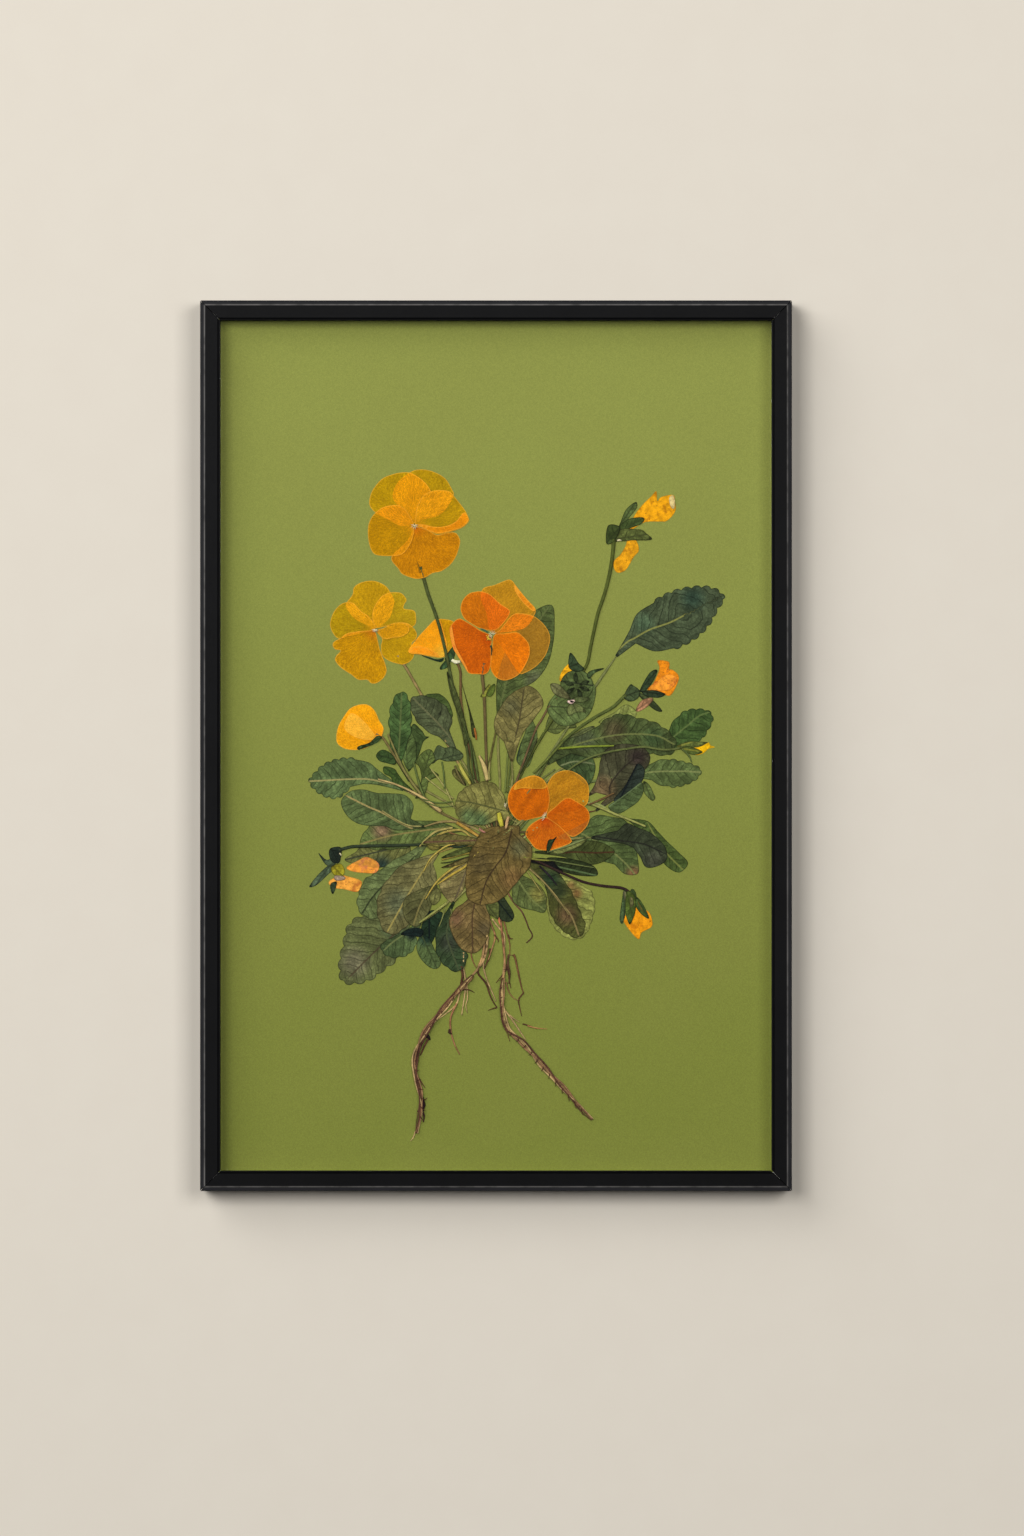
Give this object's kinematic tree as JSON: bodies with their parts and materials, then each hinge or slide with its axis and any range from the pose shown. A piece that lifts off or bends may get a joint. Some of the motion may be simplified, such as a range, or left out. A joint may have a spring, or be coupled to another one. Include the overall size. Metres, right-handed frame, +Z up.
{
  "type": "pressed flower frame",
  "caption": "Whole pressed pansy plant with flowers, leaves and roots on a green card behind glass in a slim black hanging frame.",
  "frame": {"origin": "the hanging point: on the wall's plane, at the middle of the sawtooth hanger's notches, 20 mm below the frame's top edge", "axes": "+Z up, +Y into the wall, so the picture faces -Y; +X to the viewer's right"},
  "size_m": [0.3, 0.0204, 0.4515],
  "materials": {
    "black_frame": "satin near-black, powder-coated look",
    "clear_glass": "clear, polished",
    "white_spacer": "matte off-white strip",
    "green_card": "matte olive green, fine paper grain",
    "backing_board": "raw brown fibreboard",
    "steel": "plain zinc-plated steel",
    "dried_leaf": "dry, papery, green to brown with raised veins",
    "yellow_petal": "dry, thin, golden yellow, paler where single",
    "orange_petal": "dry, thin, deep orange with a red throat",
    "withered_flower": "dry, curled, orange petals in dark green sepals",
    "dried_root": "dry, fibrous, tan to dark brown"
  },
  "bodies": {
    "root": {"rail_top": "black_frame", "rail_right": "black_frame", "rail_bottom": "black_frame", "rail_left": "black_frame", "glazing_pane": "clear_glass", "spacer_top": "white_spacer", "spacer_right": "white_spacer", "spacer_bottom": "white_spacer", "spacer_left": "white_spacer", "mount_card": "green_card", "backing_board": "backing_board", "sawtooth_hanger": "steel", "tab_upper_left": "steel", "tab_upper_right": "steel", "tab_lower_left": "steel", "tab_lower_right": "steel", "crown": "dried_root", "root_left": "dried_root", "root_right": "dried_root", "root_side": "dried_root", "leaf_behind_flower": "dried_leaf", "leaf_upper_right": "dried_leaf", "leaf_right_top": "dried_leaf", "leaf_right_middle": "dried_leaf", "leaf_right_mottled": "dried_leaf", "leaf_right_purple": "dried_leaf", "leaf_right_far": "dried_leaf", "leaf_right_long": "dried_leaf", "leaf_right_dark": "dried_leaf", "leaf_right_narrow": "dried_leaf", "leaf_left_upright": "dried_leaf", "leaf_left_grey": "dried_leaf", "leaf_left_far": "dried_leaf", "leaf_left_third": "dried_leaf", "leaf_left_second": "dried_leaf", "leaf_lower_left": "dried_leaf", "leaf_lower_green": "dried_leaf", "leaf_lower_brown": "dried_leaf", "leaf_lower_dark_green": "dried_leaf", "leaf_lower_oval": "dried_leaf", "leaf_bottom_dark": "dried_leaf", "leaf_bottom_brown": "dried_leaf", "leaf_right_lower_green": "dried_leaf", "leaf_right_clear": "dried_leaf", "leaf_right_lower": "dried_leaf", "leaf_olive_brown": "dried_leaf", "leaf_front_green": "dried_leaf", "leaf_front_brown": "dried_leaf", "flower_top": "yellow_petal", "flower_left": "yellow_petal", "flower_folded": "yellow_petal", "flower_closed": "yellow_petal", "flower_middle": "orange_petal", "flower_front": "orange_petal", "bud_top_right": "withered_flower", "bud_orange": "withered_flower", "bud_wrinkled": "withered_flower", "bud_far_right": "withered_flower", "bud_left": "withered_flower", "bud_lower_right": "withered_flower"}
  },
  "joints": []
}
